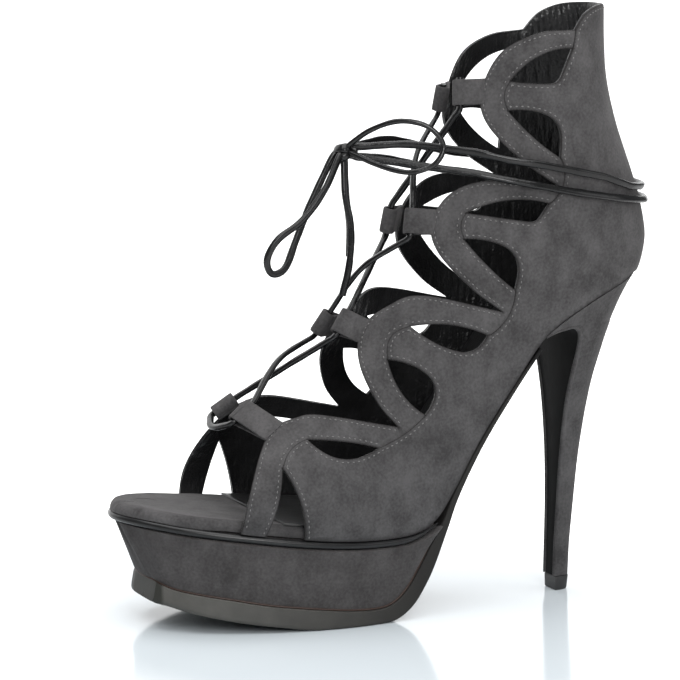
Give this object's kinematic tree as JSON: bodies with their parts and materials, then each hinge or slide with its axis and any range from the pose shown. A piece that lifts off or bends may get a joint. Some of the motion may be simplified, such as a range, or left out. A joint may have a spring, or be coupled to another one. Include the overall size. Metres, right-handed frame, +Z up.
{
  "type": "lace-up pump",
  "caption": "Open-toed platform pump in suede with a stiletto heel, a cage of scalloped bands that laces up the instep through folded loops, and a lace tied round the ankle in a bow.",
  "frame": {"origin": "on the floor, under the centre of the shoe's length and width, measured without the tied lace", "axes": "+Z up, toe towards -X, heel towards +X, outer (lateral) side of the foot towards -Y"},
  "size_m": [0.2355, 0.0866, 0.2471],
  "materials": {
    "suede": "charcoal grey suede with a short mottled nap",
    "platform_suede": "charcoal grey suede, a shade browner",
    "black_leather": "smooth black leather, soft gloss",
    "outsole_leather": "dark grey-brown sole leather, matt",
    "lace_leather": "waxed black leather lace",
    "tip_rubber": "hard dark rubber"
  },
  "bodies": {
    "root": {"outsole": "outsole_leather", "platform": "platform_suede", "piping": "black_leather", "footbed": "suede", "upper": "suede", "heel": "suede", "heel_breast": "black_leather", "heel_tip": "tip_rubber", "loop_1_lateral": "suede", "loop_1_medial": "suede", "loop_2_lateral": "suede", "loop_2_medial": "suede", "loop_3_lateral": "suede", "loop_3_medial": "suede", "loop_4_lateral": "suede", "loop_4_medial": "suede", "lace_crossings": "lace_leather", "lace_wrap_upper": "lace_leather", "lace_wrap_lower": "lace_leather", "lace_knot": "lace_leather", "bow_loop_front": "lace_leather", "bow_loop_side": "lace_leather", "lace_end_long": "lace_leather", "lace_end_short": "lace_leather"}
  },
  "joints": []
}
